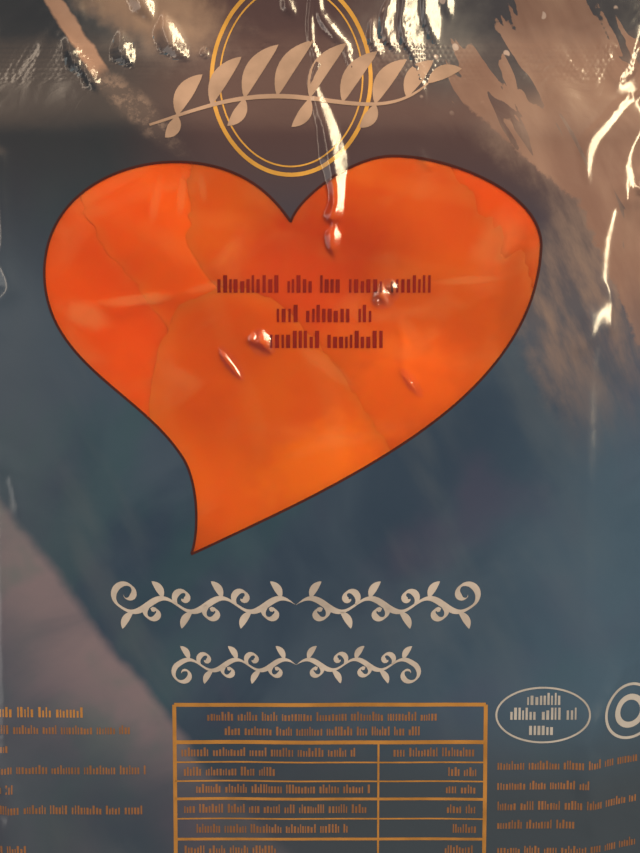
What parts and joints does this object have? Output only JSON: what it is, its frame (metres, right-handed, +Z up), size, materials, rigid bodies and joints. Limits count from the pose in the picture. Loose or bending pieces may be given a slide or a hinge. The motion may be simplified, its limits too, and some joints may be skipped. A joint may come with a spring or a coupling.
{
  "type": "vacuum pack of smoked salmon slices",
  "caption": "Flat printed film pouch, welded all round, with a clear heart-shaped window over pressed slices of smoked salmon.",
  "frame": {"origin": "centre of the pack's outline, on the plane it lies on", "axes": "+Z up through the window, +Y towards the top of the print, +X towards the print's right"},
  "size_m": [0.15, 0.2, 0.0072],
  "materials": {
    "printed_film": "glossy printed laminate film, dark slate blue with a cream table, ornaments and a pale brushed splash",
    "clear_film": "clear glossy unprinted film, wrinkled",
    "salmon": "moist, slightly translucent orange fish with paler fat lines and torn edges"
  },
  "bodies": {
    "root": {"pouch": "printed_film", "window": "clear_film", "salmon_slice_1": "salmon", "salmon_slice_2": "salmon", "salmon_slice_3": "salmon", "salmon_slice_4": "salmon", "salmon_slice_5": "salmon"}
  },
  "joints": []
}
